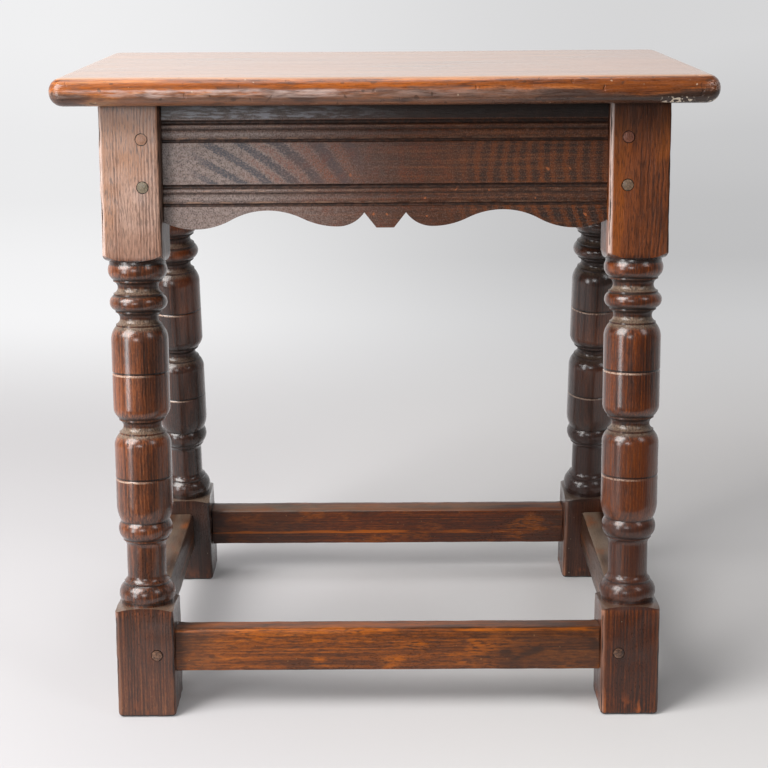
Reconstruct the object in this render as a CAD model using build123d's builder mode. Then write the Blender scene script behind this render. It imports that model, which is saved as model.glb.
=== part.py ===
from build123d import *
import math
import os

# Oak joint stool. X runs along the seat, Y from front to back, Z up; the origin is on the
# floor under the middle of the seat. The legs stand plumb seen from the front and rake
# outwards, towards the feet, seen from the end.

# Overall sizes, mm
stool_height = 457.0
seat_length = 450.0
seat_depth = 260.0
seat_thickness = 19.5
end_overhang = 28.5  # of the seat beyond the outer side faces of the legs
long_overhang = 28.0  # of the seat beyond the front and rear faces of the legs, just under it
rake_angle = 6.2  # degrees, of all four legs, front and rear

# Seat board
seat_corner_radius = 10.0
nosing_radius = 9.0

# Legs: square blocks with a turning between them, measured along the leg
leg_square = 42.5
arris_radius = 1.5
foot_rounding = 1.8
upper_block = 108.5
lower_block = 82.4
upper_shoulder_rise = 8.0
lower_shoulder_rise = 4.0

# The turning, from the top down
quirk_radius = 19.7
upper_quirk = 4.1
cap_bead = 9.1
cap_bead_radius = 20.8
high_collar_radius = 17.4
high_neck = 11.1
high_neck_radius = 14.3
middle_bead = 10.8
middle_bead_radius = 20.3
collar_radius = 16.4
collar_height = 1.3
neck = 11.2
neck_radius = 13.5
vase_radius = 20.2
vase_difference = 2.2  # the upper vase is this much longer than the lower one
line_depth = 0.5
line_width = 1.4
waist_radius = 17.3
ring = 12.8
ring_radius = 19.3
column = 33.5
column_radius = 14.1
column_flare = 5.5
base_bead = 13.1
base_bead_radius = 20.3
lower_quirk_radius = 19.0
lower_quirk = 1.8

# Rails under the seat
rail_setback = 9.0  # face of a rail behind the face of the legs
rail_thickness = 20.0
rail_haunch = 14.0  # top of a tenon below the seat
rail_tenon_bottom = 76.0
end_lobe = 86.4  # lowest points and highest points of the scalloped edge, below the seat
arch = 73.5
middle_lobe = 84.8
cusp = 75.2
drop = 85.7
lobe_at_leg = 81.2
end_lobe_inset = 21.6  # middle of the outer lobe, in from the leg
arch_place = 81.8
middle_lobe_place = 33.0
cusp_place = 14.5
drop_half_width = 6.1
end_rail_lobe_inset = 14.0

# Run mouldings on the face of a rail, below the seat
upper_moulding = 11.3
lower_moulding = 55.4
wide_groove_radius = 1.6
fine_groove_radius = 0.7
narrow_groove_radius = 1.2
fine_groove_place = 6.4
narrow_groove_place = 14.2

# Stretchers
stretcher_lift = 32.5  # underside above the floor
stretcher_height = 32.0
stretcher_thickness = 19.5
stretcher_setback = 8.0
stretcher_arris = 1.6
stretcher_tenon_shoulder = 3.0

# Joints
tenon_thickness = 9.0
joint_clearance = 0.2
mitre_gap = 0.6  # between the mitred ends of two tenons that meet in a leg
peg_diameter = 8.0
peg_length = 34.0
peg_clearance = 0.1
peg_proud = 0.5
peg_chamfer = 0.6
peg_inset = 12.9  # from the inner arris of the leg
upper_peg_edge = 10.2  # middle of a long rail's upper peg below the top of its tenon
lower_peg_edge = 19.2  # middle of its lower peg above the bottom of its tenon
stretcher_peg_edge = 4.2  # wood left above the peg in the tenon of an end stretcher
peg_stagger = 1.4  # wood left between pegs that cross in a leg
dowel_diameter = 8.0
dowel_in_seat = 11.0
dowel_in_leg = 11.0
dowel_end_gap = 0.5

# Places that follow from the sizes
rake = math.radians(rake_angle)
seat_underside = stool_height - seat_thickness
leg_length = seat_underside / math.cos(rake)
leg_depth = leg_square / math.cos(rake)  # level depth of a raked leg, front to back
frame_length = seat_length - 2 * end_overhang  # over the outer side faces of the legs
frame_depth = seat_depth - 2 * long_overhang  # over the legs, just under the seat
half_length = frame_length / 2
half_depth = frame_depth / 2
rail_shoulder = half_length - leg_square
turning_top = -upper_block
turning_bottom = lower_block - leg_length
spare = 2 * leg_square * math.tan(rake)  # allowance cut off level under the seat and at the floor
rail_tenon_inset = rail_setback + (rail_thickness - tenon_thickness) / 2
stretcher_tenon_inset = stretcher_setback + (stretcher_thickness - tenon_thickness) / 2
stretcher_top = stretcher_lift + stretcher_height
level_floor = Plane.XY
level_seat = Plane.XY.offset(seat_underside)

# Pegs of the long rails and stretchers go in square to the raked faces, so they sink on their
# way in. The end pegs pass them a step lower in the rails and a step higher in the stretchers.
peg_hole_radius = peg_diameter / 2 + peg_clearance
peg_step = (peg_diameter + peg_stagger) / math.cos(rake)
peg_sinking = (leg_square - peg_inset) * math.sin(rake)
long_rail_pegs = (rail_haunch + upper_peg_edge, rail_tenon_bottom - lower_peg_edge)
end_rail_pegs = [depth * math.cos(rake) + peg_sinking + peg_step for depth in long_rail_pegs]
end_stretcher_peg = (
    seat_underside - stretcher_top + stretcher_tenon_shoulder + stretcher_peg_edge + peg_hole_radius
)
long_stretcher_peg = (end_stretcher_peg + peg_step - peg_sinking) / math.cos(rake)

sides = {"front": -1, "rear": 1}
hands = {"left": -1, "right": 1}

os.makedirs("parts", exist_ok=True)


def finish_piece(part, name):
    part.label = name
    export_step(part, f"parts/{name}.step")


# ---------------------------------------------------------------- planes that pieces lie in


def long_face(side):
    """Outer face of the two front or two rear legs: Y runs up the raked legs from the seat."""
    return Plane(
        origin=(0, side * half_depth, seat_underside),
        x_dir=(-side, 0, 0),
        z_dir=(0, side * math.cos(rake), math.sin(rake)),
    )


def long_section(side):
    """Across the legs of one long side: Z runs up the rake, Y inwards from the outer face."""
    face = long_face(side)
    return Plane(origin=face.origin, x_dir=face.x_dir, z_dir=face.y_dir)


def end_face(hand):
    """Outer side face of the left or right legs: X runs front to back, Y runs straight up."""
    return Plane(
        origin=(hand * half_length, 0, seat_underside), x_dir=(0, hand, 0), z_dir=(hand, 0, 0)
    )


def leg_section(side, hand):
    """Across one leg at its outer corner under the seat: X runs in from the side face."""
    return Plane(
        origin=(hand * half_length, side * half_depth, seat_underside),
        x_dir=(-hand, 0, 0),
        z_dir=(0, -side * math.sin(rake), math.cos(rake)),
    )


def inner_face(drop_below_seat, inwards=0.0):
    """Distance from the middle of the stool to the inner face of a leg, at a level."""
    return half_depth - leg_depth + drop_below_seat * math.tan(rake) + inwards / math.cos(rake)


# ---------------------------------------------------------------- the turned outline of a leg


def bead(top, height, edge_above, crown, edge_below, crown_share=0.5):
    """A rounded swelling; returns the height of its lower edge."""
    ThreePointArc(
        (edge_above, top), (crown, top - height * crown_share), (edge_below, top - height)
    )
    return top - height


def hollow(top, height, collar_above, throat, collar_below):
    """A narrow neck between two square-edged collars."""
    low = top - height
    Line((collar_above, top), (collar_above, top - collar_height))
    ThreePointArc(
        (collar_above, top - collar_height),
        (throat, (top + low) / 2),
        (collar_below, low + collar_height),
    )
    Line((collar_below, low + collar_height), (collar_below, low))
    return low


def vase(top, length, edge_below, shoulder_share, foot_share):
    """A long barrel with rounded ends and one incised line round its middle."""
    low = top - length
    shoulder = top - length * shoulder_share
    foot = low + length * foot_share
    middle = (top + low) / 2
    swell = 0.24 * (vase_radius - collar_radius)
    SagittaArc((collar_radius, top), (vase_radius, shoulder), swell)
    Polyline(
        (vase_radius, shoulder),
        (vase_radius, middle + line_width / 2),
        (vase_radius - line_depth, middle),
        (vase_radius, middle - line_width / 2),
        (vase_radius, foot),
    )
    SagittaArc((vase_radius, foot), (edge_below, low), swell)
    return low


def turned_column(top):
    """A slim straight column that flares at both ends."""
    low = top - column
    flare_sag = 0.15 * column_flare
    upper_collar = (collar_radius, top - collar_height)
    lower_collar = (collar_radius, low + collar_height)
    shaft_top = (column_radius, top - collar_height - column_flare)
    shaft_bottom = (column_radius, low + collar_height + column_flare)
    Line((collar_radius, top), upper_collar)
    SagittaArc(upper_collar, shaft_top, -flare_sag)
    Line(shaft_top, shaft_bottom)
    SagittaArc(shaft_bottom, lower_collar, -flare_sag)
    Line(lower_collar, (collar_radius, low))
    return low


def turned_outline():
    """Half of the turned leg, out from its axis, with square blocks left beyond the corners."""
    corner = leg_square / math.sqrt(2)
    block_radius = corner + arris_radius
    fixed = (
        upper_quirk + cap_bead + high_neck + middle_bead + 2 * neck
        + ring + column + base_bead + lower_quirk
    )
    vases = turning_top - turning_bottom - fixed
    upper_vase = (vases + vase_difference) / 2
    lower_vase = (vases - vase_difference) / 2
    dome_share = 0.3  # rise of the domed shoulder half way out to the corner
    halfway = (quirk_radius + corner) / 2
    upper_shoulder = turning_top + upper_shoulder_rise
    lower_shoulder = turning_bottom - lower_shoulder_rise

    Polyline(
        (0, spare),
        (block_radius, spare),
        (block_radius, upper_shoulder),
        (corner, upper_shoulder),
    )
    ThreePointArc(
        (corner, upper_shoulder),
        (halfway, turning_top + upper_shoulder_rise * dome_share),
        (quirk_radius, turning_top),
    )
    Line((quirk_radius, turning_top), (quirk_radius, turning_top - upper_quirk))
    level = turning_top - upper_quirk
    level = bead(level, cap_bead, quirk_radius, cap_bead_radius, high_collar_radius, 0.44)
    level = hollow(level, high_neck, high_collar_radius, high_neck_radius, high_collar_radius)
    level = bead(level, middle_bead, high_collar_radius, middle_bead_radius, collar_radius)
    level = hollow(level, neck, collar_radius, neck_radius, collar_radius)
    level = vase(level, upper_vase, collar_radius, 0.16, 0.13)
    level = hollow(level, neck, collar_radius, neck_radius, collar_radius)
    level = vase(level, lower_vase, waist_radius, 0.14, 0.2)
    level = bead(level, ring, waist_radius, ring_radius, collar_radius, 0.4)
    level = turned_column(level)
    level = bead(level, base_bead, collar_radius, base_bead_radius, lower_quirk_radius, 0.69)
    Line((lower_quirk_radius, level), (lower_quirk_radius, turning_bottom))
    ThreePointArc(
        (lower_quirk_radius, turning_bottom),
        (halfway, turning_bottom - lower_shoulder_rise * dome_share),
        (corner, lower_shoulder),
    )
    Polyline(
        (corner, lower_shoulder),
        (block_radius, lower_shoulder),
        (block_radius, -leg_length - spare),
        (0, -leg_length - spare),
        (0, spare),
    )


# ---------------------------------------------------------------- legs


def make_leg(side, hand):
    """A leg turned from the square, mortised for two rails and two stretchers, cut level."""
    section = leg_section(side, hand)
    flip = side * hand
    axis_point = section.from_local_coords((leg_square / 2, flip * leg_square / 2, 0))
    profile_plane = Plane(
        origin=axis_point, x_dir=section.x_dir, z_dir=section.x_dir.cross(section.z_dir)
    )
    face = long_face(side)
    end = end_face(hand)
    face_peg_x = -side * hand * (rail_shoulder + peg_inset)

    with BuildPart() as leg:
        with BuildSketch(profile_plane):
            with BuildLine():
                turned_outline()
            make_face()
        revolve(axis=Axis(axis_point, section.z_dir))

        # squared up to the sawn stock, with softened arrises
        with BuildSketch(section.offset(spare)):
            with Locations((leg_square / 2, flip * leg_square / 2)):
                RectangleRounded(leg_square, leg_square, arris_radius)
        extrude(amount=-leg_length - 2 * spare, mode=Mode.INTERSECT)

        # cut level under the seat and at the floor
        split(bisect_by=level_seat, keep=Keep.BOTTOM)
        split(bisect_by=level_floor, keep=Keep.TOP)
        fillet(leg.faces().sort_by(Axis.Z)[0].edges(), foot_rounding)

        # mortises for the long rail and the long stretcher, from the inner side face
        long_mortises = (
            (rail_haunch, rail_tenon_bottom, rail_tenon_inset),
            (
                leg_length - stretcher_top + stretcher_tenon_shoulder,
                leg_length - stretcher_lift - stretcher_tenon_shoulder,
                stretcher_tenon_inset,
            ),
        )
        for high, low, inset in long_mortises:
            with BuildSketch(section.offset(joint_clearance - high)):
                with Locations((inset - joint_clearance, flip * (inset + tenon_thickness / 2))):
                    Rectangle(
                        leg_square,
                        tenon_thickness + 2 * joint_clearance,
                        align=(Align.MIN, Align.CENTER),
                    )
            extrude(amount=high - low - 2 * joint_clearance, mode=Mode.SUBTRACT)

        # mortises for the end rail and the end stretcher, from the face towards the middle
        end_mortises = (
            (rail_haunch, rail_tenon_bottom, rail_tenon_inset),
            (
                seat_underside - stretcher_top + stretcher_tenon_shoulder,
                seat_underside - stretcher_lift - stretcher_tenon_shoulder,
                stretcher_tenon_inset,
            ),
        )
        for high, low, inset in end_mortises:
            top = high - joint_clearance
            bottom = low + joint_clearance
            reach = leg_square - inset + joint_clearance
            with BuildSketch(end.offset(joint_clearance - inset)):
                with BuildLine():
                    Polyline(
                        (flip * inner_face(top, reach), -top),
                        (flip * inner_face(bottom, reach), -bottom),
                        (flip * inner_face(bottom, -spare), -bottom),
                        (flip * inner_face(top, -spare), -top),
                        close=True,
                    )
                make_face()
            extrude(amount=-tenon_thickness - 2 * joint_clearance, mode=Mode.SUBTRACT)

        # peg holes, blind, bored from the two outer faces
        hole_depth = peg_length - peg_proud + joint_clearance
        with BuildSketch(face):
            for depth in (*long_rail_pegs, long_stretcher_peg):
                with Locations((face_peg_x, -depth)):
                    Circle(peg_hole_radius)
        extrude(amount=-hole_depth, mode=Mode.SUBTRACT)
        with BuildSketch(end):
            for depth in (*end_rail_pegs, end_stretcher_peg):
                with Locations((flip * inner_face(depth, peg_inset), -depth)):
                    Circle(peg_hole_radius)
        extrude(amount=-hole_depth, mode=Mode.SUBTRACT)

        # blind hole for the dowel that holds the seat
        with BuildSketch(level_seat):
            with Locations(dowel_place(side, hand)):
                Circle(dowel_diameter / 2 + peg_clearance)
        extrude(amount=-dowel_in_leg - dowel_end_gap, mode=Mode.SUBTRACT)
    return leg.part


def dowel_place(side, hand):
    """Middle of the top of a leg."""
    return (hand * (half_length - leg_square / 2), side * (half_depth - leg_depth / 2))


for side_name, side in sides.items():
    for hand_name, hand in hands.items():
        finish_piece(make_leg(side, hand), f"leg_{side_name}_{hand_name}")


# ---------------------------------------------------------------- rails under the seat


def groove_places(start):
    """Middle of each groove of one run moulding, below the seat, with its radius."""
    return (
        (start + wide_groove_radius, wide_groove_radius),
        (start + fine_groove_place, fine_groove_radius),
        (start + narrow_groove_place, narrow_groove_radius),
    )


def run_mouldings(face, length):
    """Round grooves scratched along the whole face of a rail, in two bands."""
    across = Plane(origin=face.origin, x_dir=face.z_dir, z_dir=face.x_dir)
    with BuildSketch(across.offset(-length / 2)) as grooves:
        for start in (upper_moulding, lower_moulding):
            for place, radius in groove_places(start):
                with Locations((0, place)):
                    Circle(radius)
    extrude(grooves.sketch, amount=length, mode=Mode.SUBTRACT)


def make_long_rail(side):
    """Front or rear rail: scalloped below, moulded on its face, tenoned into two legs."""
    face = long_face(side).offset(-rail_setback)
    with BuildPart() as rail:
        with BuildSketch(face):
            with BuildLine():
                top_line = Line((0, spare), (rail_shoulder, spare))
                Line(top_line @ 1, (rail_shoulder, -lobe_at_leg))
                lobe = (rail_shoulder - end_lobe_inset, -end_lobe)
                crown = (arch_place, -arch)
                inner_lobe = (middle_lobe_place, -middle_lobe)
                TangentArc(lobe, (rail_shoulder, -lobe_at_leg), tangent=(1, 0))
                for start, stop in ((lobe, crown), (crown, inner_lobe)):
                    turn = ((start[0] + stop[0]) / 2, (start[1] + stop[1]) / 2)
                    TangentArc(start, turn, tangent=(-1, 0))
                    TangentArc(stop, turn, tangent=(1, 0))
                TangentArc(inner_lobe, (cusp_place, -cusp), tangent=(-1, 0))
                Polyline((cusp_place, -cusp), (drop_half_width, -drop), (0, -drop))
                mirror(about=Plane.YZ)
            make_face()
        extrude(amount=-rail_thickness)
        run_mouldings(face, 2 * rail_shoulder)

        # one tenon bar right through the rail, with its ends mitred
        outer = half_length - rail_tenon_inset - mitre_gap
        inner = outer - tenon_thickness
        with BuildSketch(long_section(side).offset(-rail_haunch)):
            with BuildLine():
                Polyline(
                    (-outer, rail_tenon_inset),
                    (outer, rail_tenon_inset),
                    (inner, rail_tenon_inset + tenon_thickness),
                    (-inner, rail_tenon_inset + tenon_thickness),
                    close=True,
                )
            make_face()
        extrude(amount=rail_haunch - rail_tenon_bottom)

        split(bisect_by=level_seat, keep=Keep.BOTTOM)

        with BuildSketch(long_face(side)):
            for depth in long_rail_pegs:
                with Locations(
                    (-rail_shoulder - peg_inset, -depth), (rail_shoulder + peg_inset, -depth)
                ):
                    Circle(peg_hole_radius)
        extrude(amount=-leg_square, mode=Mode.SUBTRACT)
    return rail.part


def make_end_rail(hand):
    """Left or right rail: shoulders cut to the rake, one shallow arch, mitred tenons."""
    face = end_face(hand).offset(-rail_setback)
    with BuildPart() as rail:
        with BuildSketch(face):
            with BuildLine():
                lobe = (inner_face(end_lobe) - end_rail_lobe_inset, -end_lobe)
                turn = (lobe[0] / 2, -(end_lobe + arch) / 2)
                Line((0, 0), (inner_face(0), 0))
                Line((inner_face(0), 0), (inner_face(lobe_at_leg), -lobe_at_leg))
                TangentArc(lobe, (inner_face(lobe_at_leg), -lobe_at_leg), tangent=(1, 0))
                TangentArc(lobe, turn, tangent=(-1, 0))
                TangentArc((0, -arch), turn, tangent=(1, 0))
                mirror(about=Plane.YZ)
            make_face()
        extrude(amount=-rail_thickness)
        run_mouldings(face, frame_depth + rail_tenon_bottom)
        add_end_tenons(hand, rail_haunch, rail_tenon_bottom, rail_tenon_inset)
        bore_end_tenons(hand, end_rail_pegs)
    return rail.part


def add_end_tenons(hand, high, low, inset):
    """A tenon bar from leg to leg, raked at its ends and mitred against the long tenons."""
    reach = leg_square - inset - mitre_gap
    with BuildSketch(end_face(hand).offset(-inset)) as bar:
        with BuildLine():
            Polyline(
                (inner_face(high, reach), -high),
                (inner_face(low, reach), -low),
                (-inner_face(low, reach), -low),
                (-inner_face(high, reach), -high),
                close=True,
            )
        make_face()
    extrude(bar.sketch, amount=-tenon_thickness)
    for side in sides.values():
        flip = side * hand
        tip = inset + mitre_gap
        with BuildSketch(leg_section(side, hand).offset(spare - high)) as mitre:
            with BuildLine():
                Polyline(
                    (inset, flip * tip),
                    (inset + tenon_thickness, flip * (tip + tenon_thickness)),
                    (inset + tenon_thickness + spare, flip * (tip + tenon_thickness)),
                    (inset + tenon_thickness + spare, flip * (tip - spare)),
                    (inset, flip * (tip - spare)),
                    close=True,
                )
            make_face()
        extrude(mitre.sketch, amount=high - low - 2 * spare, mode=Mode.SUBTRACT)


def bore_end_tenons(hand, depths):
    """Peg holes through the tenons of an end rail or stretcher."""
    with BuildSketch(end_face(hand)) as holes:
        for depth in depths:
            place = inner_face(depth, peg_inset)
            with Locations((-place, -depth), (place, -depth)):
                Circle(peg_hole_radius)
    extrude(holes.sketch, amount=-leg_square, mode=Mode.SUBTRACT)


for side_name, side in sides.items():
    finish_piece(make_long_rail(side), f"rail_{side_name}")
for hand_name, hand in hands.items():
    finish_piece(make_end_rail(hand), f"rail_{hand_name}")


# ---------------------------------------------------------------- stretchers near the floor


def make_long_stretcher(side):
    """Front or rear stretcher, lying in the rake of the legs."""
    bottom = stretcher_lift - leg_length
    outer = half_length - stretcher_tenon_inset - mitre_gap
    inner = outer - tenon_thickness
    with BuildPart() as stretcher:
        with BuildSketch(long_face(side).offset(-stretcher_setback)):
            with Locations((0, bottom)):
                Rectangle(2 * rail_shoulder, stretcher_height, align=(Align.CENTER, Align.MIN))
        extrude(amount=-stretcher_thickness)
        fillet(stretcher.edges().filter_by(Axis.X), stretcher_arris)
        tenon_top = bottom + stretcher_height - stretcher_tenon_shoulder
        with BuildSketch(long_section(side).offset(tenon_top)):
            with BuildLine():
                Polyline(
                    (-outer, stretcher_tenon_inset),
                    (outer, stretcher_tenon_inset),
                    (inner, stretcher_tenon_inset + tenon_thickness),
                    (-inner, stretcher_tenon_inset + tenon_thickness),
                    close=True,
                )
            make_face()
        extrude(amount=2 * stretcher_tenon_shoulder - stretcher_height)
        with BuildSketch(long_face(side)):
            with Locations(
                (-rail_shoulder - peg_inset, -long_stretcher_peg),
                (rail_shoulder + peg_inset, -long_stretcher_peg),
            ):
                Circle(peg_hole_radius)
        extrude(amount=-leg_square, mode=Mode.SUBTRACT)
    return stretcher.part


def make_end_stretcher(hand):
    """Left or right stretcher, upright, with its shoulders cut to the rake."""
    high = seat_underside - stretcher_top
    low = seat_underside - stretcher_lift
    face = end_face(hand).offset(-stretcher_setback)
    with BuildPart() as stretcher:
        with BuildSketch(face):
            with BuildLine():
                Polyline(
                    (inner_face(high), -high),
                    (inner_face(low), -low),
                    (-inner_face(low), -low),
                    (-inner_face(high), -high),
                    close=True,
                )
            make_face()
        extrude(amount=-stretcher_thickness)
        fillet(stretcher.edges().filter_by(Axis.Y), stretcher_arris)
        add_end_tenons(
            hand,
            high + stretcher_tenon_shoulder,
            low - stretcher_tenon_shoulder,
            stretcher_tenon_inset,
        )
        bore_end_tenons(hand, [end_stretcher_peg])
    return stretcher.part


for side_name, side in sides.items():
    finish_piece(make_long_stretcher(side), f"stretcher_{side_name}")
for hand_name, hand in hands.items():
    finish_piece(make_end_stretcher(hand), f"stretcher_{hand_name}")


# ---------------------------------------------------------------- pegs


def make_pegs(face, places):
    """Riven pegs driven into one face, their softened heads a little proud of it."""
    with BuildPart() as pegs:
        with BuildSketch(face.offset(peg_proud)):
            with Locations(*places):
                Circle(peg_diameter / 2)
        extrude(amount=-peg_length)
        chamfer(peg_head_edges(pegs, face), peg_chamfer)
    return pegs.part


def peg_head_edges(pegs, face):
    """The round edges of the heads, which stand highest off the face."""
    outward = Axis(face.origin, face.z_dir)
    return pegs.edges().filter_by(GeomType.CIRCLE).group_by(outward)[-1]


for side_name, side in sides.items():
    peg_x = rail_shoulder + peg_inset
    rail_places = [(hand * peg_x, -depth) for hand in hands.values() for depth in long_rail_pegs]
    stretcher_places = [(hand * peg_x, -long_stretcher_peg) for hand in hands.values()]
    finish_piece(make_pegs(long_face(side), rail_places), f"pegs_rail_{side_name}")
    finish_piece(make_pegs(long_face(side), stretcher_places), f"pegs_stretcher_{side_name}")
for hand_name, hand in hands.items():
    for joint, depths in (("rail", end_rail_pegs), ("stretcher", [end_stretcher_peg])):
        end_places = [
            (side * inner_face(depth, peg_inset), -depth)
            for depth in depths
            for side in sides.values()
        ]
        finish_piece(make_pegs(end_face(hand), end_places), f"pegs_{joint}_{hand_name}")


# ---------------------------------------------------------------- seat

dowel_places = [dowel_place(side, hand) for side in sides.values() for hand in hands.values()]

with BuildPart() as seat_board:
    with BuildSketch(level_seat):
        RectangleRounded(seat_length, seat_depth, seat_corner_radius)
    extrude(amount=seat_thickness)
    fillet(seat_board.edges().filter_by(Plane.XY), nosing_radius)
    with BuildSketch(level_seat):
        with Locations(*dowel_places):
            Circle(dowel_diameter / 2 + peg_clearance)
    extrude(amount=dowel_in_seat + dowel_end_gap, mode=Mode.SUBTRACT)
finish_piece(seat_board.part, "seat_board")

with BuildPart() as seat_dowels:
    with BuildSketch(level_seat.offset(-dowel_in_leg)):
        with Locations(*dowel_places):
            Circle(dowel_diameter / 2)
    extrude(amount=dowel_in_leg + dowel_in_seat)
    chamfer(seat_dowels.edges().filter_by(GeomType.CIRCLE), peg_chamfer)
finish_piece(seat_dowels.part, "seat_dowels")
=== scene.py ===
import math

import bpy
from mathutils import Matrix, Vector


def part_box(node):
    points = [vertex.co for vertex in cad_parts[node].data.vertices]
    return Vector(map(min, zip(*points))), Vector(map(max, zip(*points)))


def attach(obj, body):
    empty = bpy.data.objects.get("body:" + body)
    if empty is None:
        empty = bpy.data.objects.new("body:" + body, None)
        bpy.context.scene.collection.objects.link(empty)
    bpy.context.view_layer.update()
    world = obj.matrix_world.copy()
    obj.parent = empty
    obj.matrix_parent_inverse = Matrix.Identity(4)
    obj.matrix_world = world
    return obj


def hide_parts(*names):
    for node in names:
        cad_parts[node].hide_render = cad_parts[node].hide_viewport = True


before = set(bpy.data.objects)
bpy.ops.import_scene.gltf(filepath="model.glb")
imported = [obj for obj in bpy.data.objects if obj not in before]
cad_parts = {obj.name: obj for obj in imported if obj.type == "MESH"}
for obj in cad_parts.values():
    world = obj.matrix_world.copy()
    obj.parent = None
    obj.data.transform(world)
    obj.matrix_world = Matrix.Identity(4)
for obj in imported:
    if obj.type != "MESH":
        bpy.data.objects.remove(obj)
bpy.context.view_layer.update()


# ------------------------------------------------------------------ the studio
# A pale sweep of paper under and behind the stool, lit from the left by one large soft
# window and filled from the right and from above. Far back, what the camera and reflections
# see of the paper is mostly a painted glow, lighter on the left than on the right. The
# camera stands in front, a little above the seat.

camera_place = (0.00108, -1.19026, 0.54512)
camera_fall = math.radians(15.754)  # how far it looks down
camera_turn = math.radians(0.139)
camera_roll = math.radians(-0.359)

bpy.ops.object.select_all(action="DESELECT")
bpy.ops.object.camera_add()
camera = bpy.context.object
camera.name = "camera"
camera.data.sensor_width = 36.0
camera.data.lens = 74.07
camera.matrix_world = (
    Matrix.Translation(camera_place)
    @ Matrix.Rotation(camera_turn, 4, "Z")
    @ Matrix.Rotation(math.radians(90) - camera_fall, 4, "X")
    @ Matrix.Rotation(camera_roll, 4, "Z")
)
bpy.context.scene.camera = camera
bpy.context.scene.view_settings.view_transform = "Standard"


def operator(operation, number_first=False):
    """The method of an operator: it adds one Math node for itself and the other value."""

    def work_out(self, other):
        return self.math(operation, *((other, self) if number_first else (self, other)))

    return work_out


class Shade:
    """A value in a material. Sums, products and powers of these add the Math nodes for them."""

    __add__, __radd__ = operator("ADD"), operator("ADD", True)
    __sub__, __rsub__ = operator("SUBTRACT"), operator("SUBTRACT", True)
    __mul__, __rmul__ = operator("MULTIPLY"), operator("MULTIPLY", True)
    __truediv__, __pow__ = operator("DIVIDE"), operator("POWER")

    def __init__(self, tree, socket=None):
        self.tree = tree
        self.socket = socket

    def node(self, kind, settings, inputs, output=0):
        """Adds a node: its settings first, a ramp's stops among them, then its sockets."""
        made = self.tree.nodes.new(kind)
        for name, value in settings.items():
            if name == "stops":
                stops = made.color_ramp.elements
                while len(stops) < len(value):
                    stops.new(1.0)
                for stop, (place, colour) in zip(stops, value):
                    stop.position = place
                    stop.color = colour
            else:
                setattr(made, name, value)
        for name, value in inputs.items():
            if isinstance(value, Shade):
                self.tree.links.new(value.socket, made.inputs[name])
            else:
                made.inputs[name].default_value = value
        return Shade(self.tree, made.outputs[output]) if made.outputs else None

    def math(self, operation, *values):
        return self.node("ShaderNodeMath", {"operation": operation}, dict(enumerate(values)))

    def __abs__(self):
        return self.math("ABSOLUTE", self)

    def __neg__(self):
        return self.math("MULTIPLY", self, -1.0)

    def sine(self):
        return self.math("SINE", self)

    def larger(self, other):
        return self.math("MAXIMUM", self, other)

    def fade(self, low, high):
        """0 at low, 1 at high, with a soft start and end; low may be the larger."""
        inputs = {"Value": self, "From Min": low, "From Max": high}
        return self.node("ShaderNodeMapRange", {"interpolation_type": "SMOOTHSTEP"}, inputs)

    def band(self, low, high, soft):
        """1 between low and high, fading to 0 over soft outside them."""
        return self.fade(low - soft, low) * self.fade(high + soft, high)

    def moved(self, by):
        return self.node("ShaderNodeVectorMath", {"operation": "ADD"}, {0: self, 1: by})

    def stretched(self, by):
        return self.node("ShaderNodeVectorMath", {"operation": "MULTIPLY"}, {0: self, 1: by})

    def noise(self, scale, detail=2.0, roughness=0.5, output="Fac"):
        inputs = {"Vector": self, "Scale": scale, "Detail": detail, "Roughness": roughness}
        return self.node("ShaderNodeTexNoise", {}, inputs, output)

    def parts(self):
        return [self.node("ShaderNodeSeparateXYZ", {}, {0: self}, i) for i in range(3)]

    def mixed(self, colour, share):
        """This colour with a share of another laid over it."""
        inputs = {0: share, 6: self, 7: colour}
        return self.node("ShaderNodeMix", {"data_type": "RGBA"}, inputs, 2)


def seen(red, green, blue):
    """The linear colour for a material, from a colour as the eye reads it, 0 to 255."""
    return tuple(((c / 255 + 0.055) / 1.055) ** 2.4 for c in (red, green, blue)) + (1,)


def extrude(step):
    """Extrudes what is selected and moves the new end by a step."""
    bpy.ops.mesh.extrude_region_move(TRANSFORM_OT_translate={"value": step})


# The paper is a disc whose rim is drawn up through a quarter round, open towards the camera.
floor_radius = 2.6
sweep_radius = 1.6
sweep_steps = 16
wall_height = 2.5
paper_front = -0.42

bpy.ops.mesh.primitive_circle_add(vertices=96, radius=floor_radius, fill_type="NGON")
sweep = bpy.context.object
sweep.name = "paper_sweep"
bpy.ops.object.mode_set(mode="EDIT")
bpy.ops.mesh.select_all(action="SELECT")
reach = floor_radius
for step in range(1, sweep_steps + 1):
    angle = math.pi / 2 * step / sweep_steps
    before = math.pi / 2 * (step - 1) / sweep_steps
    rise = sweep_radius * (math.cos(before) - math.cos(angle))
    grown = floor_radius + sweep_radius * math.sin(angle)
    extrude((0, 0, rise))
    bpy.ops.transform.resize(value=(grown / reach, grown / reach, 1))
    reach = grown
extrude((0, 0, wall_height))
bpy.ops.mesh.delete(type="ONLY_FACE")
bpy.ops.mesh.select_all(action="DESELECT")
bpy.ops.mesh.select_mode(type="FACE")
bpy.ops.object.mode_set(mode="OBJECT")
bpy.ops.object.mode_set(mode="EDIT")
bpy.ops.mesh.select_all(action="SELECT")
bpy.ops.mesh.bisect(plane_co=(0, paper_front, 0), plane_no=(0, 1, 0), clear_inner=True)
bpy.ops.object.mode_set(mode="OBJECT")
bpy.ops.object.shade_smooth()

paper = bpy.data.materials.new("paper")
paper.use_nodes = True
paper.node_tree.nodes.clear()
sheet = Shade(paper.node_tree)
across, back, _ = sheet.node("ShaderNodeTexCoord", {}, {}, "Object").parts()
to_right = (across / (back + 1.2)).fade(-0.22, 0.17)  # as the camera sees it
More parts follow.
